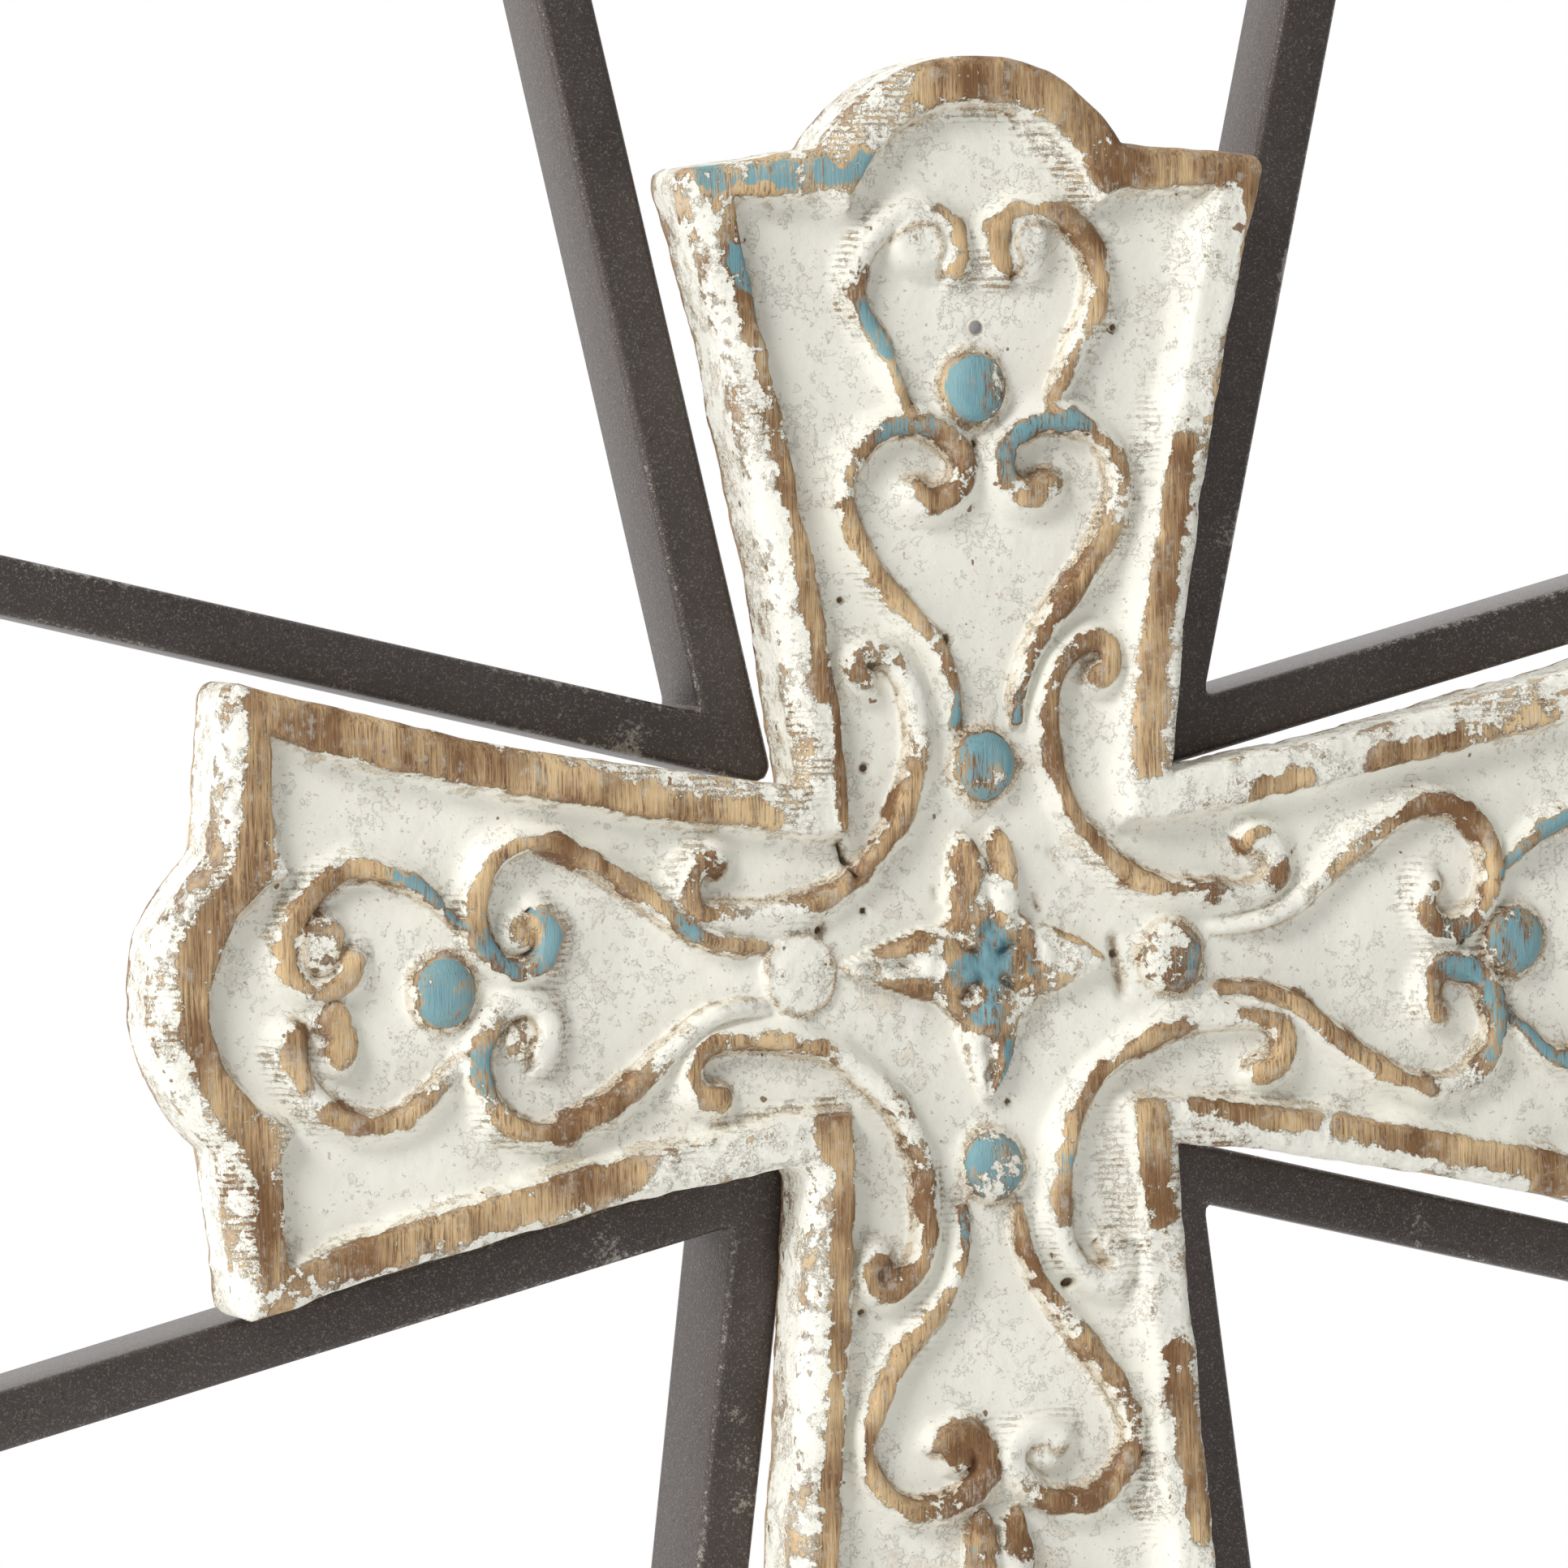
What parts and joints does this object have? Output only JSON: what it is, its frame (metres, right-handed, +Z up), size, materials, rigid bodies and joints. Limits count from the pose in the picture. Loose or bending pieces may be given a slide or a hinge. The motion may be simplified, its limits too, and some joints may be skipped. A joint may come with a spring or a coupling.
{
  "type": "wall cross",
  "caption": "Carved wooden cross with flared arms, scrolls, studs and a rosette in worn white and blue paint, on a welded steel tube frame of the same outline.",
  "frame": {"origin": "middle of the flat back face of the frame's top end bar, in the plane of the wall", "axes": "+Z up along the long arm's line, +X to the viewer's right, +Y into the wall, so the cross faces -Y"},
  "size_m": [0.61, 0.047, 0.8129],
  "materials": {
    "painted_wood": "matt cream-white paint worn through to tan and brown wood, with worn blue on the studs and scrolls",
    "bronzed_steel": "satin dark bronze-grey with a fine pale speckle and rubbed edges"
  },
  "bodies": {
    "root": {"wooden_cross": "painted_wood", "frame_top_end_bar": "bronzed_steel", "frame_top_arm_right_tube": "bronzed_steel", "frame_right_arm_upper_tube": "bronzed_steel", "frame_right_end_bar": "bronzed_steel", "frame_right_arm_lower_tube": "bronzed_steel", "frame_bottom_arm_right_tube": "bronzed_steel", "frame_bottom_end_bar": "bronzed_steel", "frame_bottom_arm_left_tube": "bronzed_steel", "frame_left_arm_lower_tube": "bronzed_steel", "frame_left_end_bar": "bronzed_steel", "frame_left_arm_upper_tube": "bronzed_steel", "frame_top_arm_left_tube": "bronzed_steel"}
  },
  "joints": []
}
